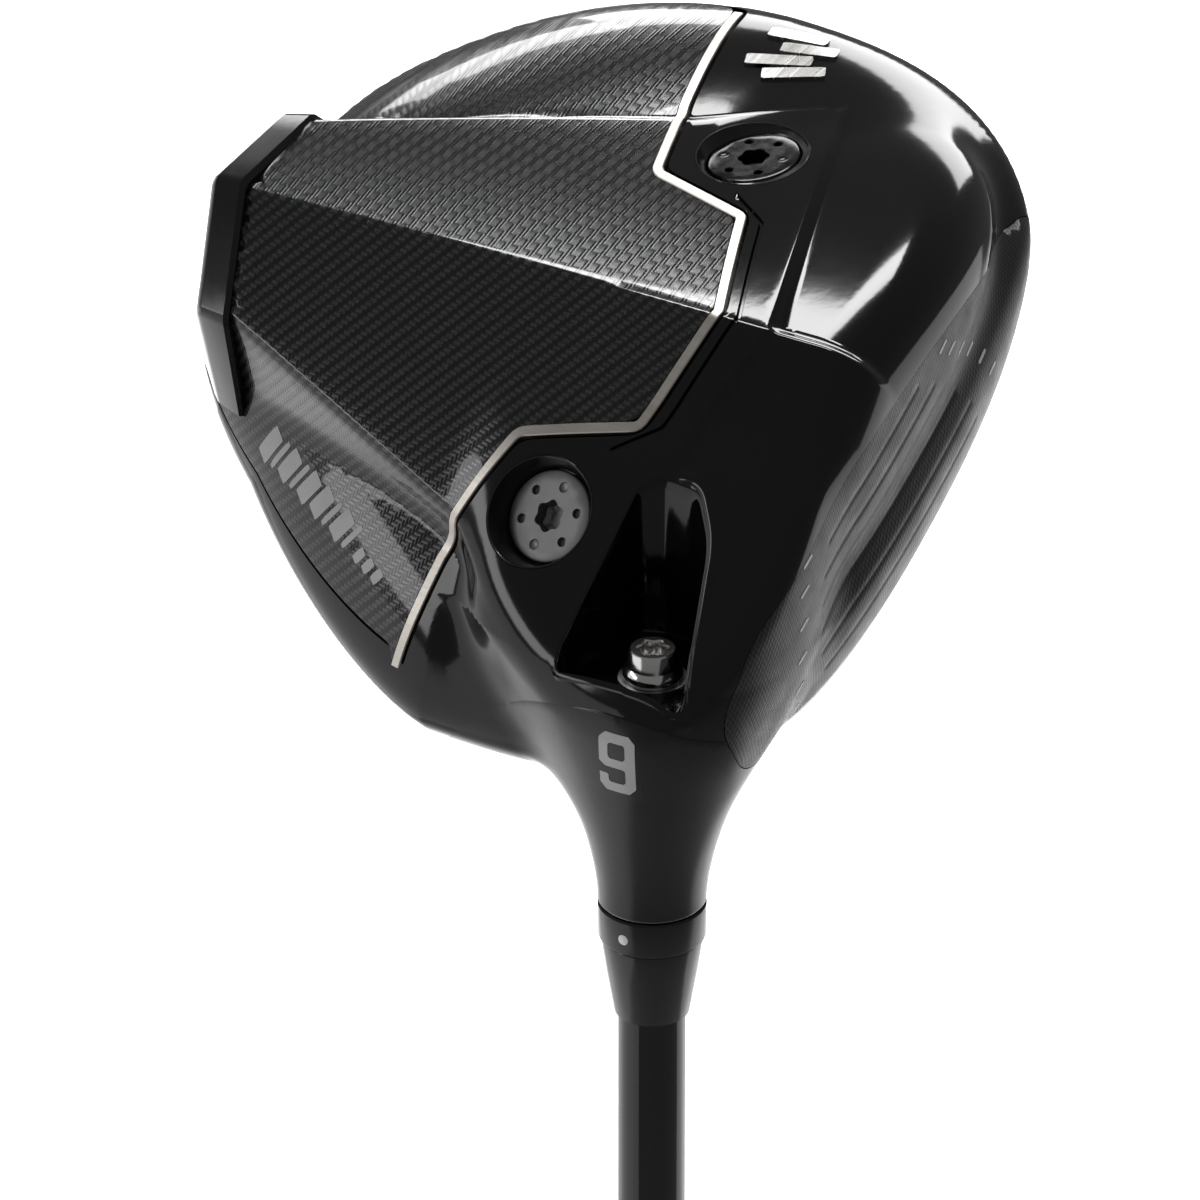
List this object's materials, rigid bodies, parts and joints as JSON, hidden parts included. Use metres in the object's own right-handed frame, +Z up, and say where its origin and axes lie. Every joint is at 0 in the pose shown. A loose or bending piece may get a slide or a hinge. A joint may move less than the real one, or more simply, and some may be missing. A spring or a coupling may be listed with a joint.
{
  "type": "golf driver",
  "caption": "Right-handed golf driver: hollow bulbous head with a roof-shaped sole keel, screw-in sole weights and an adjustable hosel, on a slim tapered shaft with a rubber grip",
  "frame": {"origin": "centre of the flat butt end of the grip, on the shaft axis", "axes": "+Z runs up the shaft axis from the butt of the grip to the head, as in the picture; -Y is the way the face looks; +X is the crown side, -X the sole and heel side"},
  "size_m": [0.1079, 0.1136, 1.1774],
  "materials": {
    "head_paint": "gloss black lacquer over cast titanium",
    "face_metal": "matte black, fine milled texture",
    "carbon_gloss": "clear coated carbon weave",
    "cap_plastic": "gloss black",
    "trim_metal": "bright satin strip",
    "badge_plastic": "dark gloss",
    "port_metal": "dark gloss",
    "weight_metal": "dark grey satin",
    "washer_metal": "satin steel",
    "bore_metal": "machined",
    "screw_steel": "polished steel",
    "retainer_spring": "spring steel",
    "sleeve_black": "gloss black anodised",
    "ferrule_black": "gloss black",
    "shaft_black": "clear coated graphite",
    "tape": "double sided tape",
    "grip_rubber": "patterned rubber",
    "cap_rubber": "rubber"
  },
  "bodies": {
    "shaft_side": {"shaft": "shaft_black", "adapter_sleeve": "sleeve_black", "ferrule": "ferrule_black", "grip_tape": "tape", "grip": "grip_rubber", "grip_end_cap": "cap_rubber"},
    "retainer": {"screw_retainer": "retainer_spring"},
    "head": {"head_body": "head_paint", "face_plate": "face_metal", "crown_panel": "carbon_gloss", "sole_panel": "carbon_gloss", "rear_cap": "cap_plastic", "trim_strip": "trim_metal", "badge": "badge_plastic", "weight_port_heel": "port_metal", "weight_port_toe": "port_metal", "hosel_tube": "bore_metal"},
    "hosel_washer": {"hosel_screw_washer": "washer_metal"},
    "hosel_screw": {"hosel_screw": "screw_steel"},
    "heel_washer": {"heel_weight_washer": "washer_metal"},
    "heel_weight": {"heel_weight": "weight_metal"},
    "toe_washer": {"toe_weight_washer": "washer_metal"},
    "toe_weight": {"toe_weight": "weight_metal"}
  },
  "joints": [
    {"name": "head_pull", "type": "slide", "parent": "shaft_side", "child": "retainer", "axis": [0, 0, 1], "range_m": [0, 0.045]},
    {"name": "head_index", "type": "hinge", "parent": "retainer", "child": "head", "pos_m": [0, 0, 1.096], "axis": [0, 0, 1], "range_deg": [-180, 180]},
    {"name": "hosel_screw_travel", "type": "slide", "parent": "head", "child": "hosel_washer", "axis": [0, 0, 1], "range_m": [0, 0.0128]},
    {"name": "hosel_screw_turn", "type": "hinge", "parent": "hosel_washer", "child": "hosel_screw", "pos_m": [0, 0, 1.13], "axis": [0, 0, 1], "range_deg": [0, 5761]},
    {"name": "heel_weight_travel", "type": "slide", "parent": "head", "child": "heel_washer", "axis": [-0.8154, 0.0954, 0.571], "range_m": [0, 0.008]},
    {"name": "heel_weight_turn", "type": "hinge", "parent": "heel_washer", "child": "heel_weight", "pos_m": [0.00724, 0.0207, 1.1428], "axis": [-0.8154, 0.0954, 0.571], "range_deg": [0, 2881]},
    {"name": "toe_weight_travel", "type": "slide", "parent": "head", "child": "toe_washer", "axis": [-0.1213, 0.0954, 0.988], "range_m": [0, 0.008]},
    {"name": "toe_weight_turn", "type": "hinge", "parent": "toe_washer", "child": "toe_weight", "pos_m": [0.05799, 0.0207, 1.17329], "axis": [-0.1213, 0.0954, 0.988], "range_deg": [0, 2881]}
  ],
  "couplings": [
    {"joint": "hosel_screw_turn", "follows": "hosel_screw_travel", "rad_per_m": 7854},
    {"joint": "heel_weight_turn", "follows": "heel_weight_travel", "rad_per_m": 6283.2},
    {"joint": "toe_weight_turn", "follows": "toe_weight_travel", "rad_per_m": 6283.2}
  ]
}
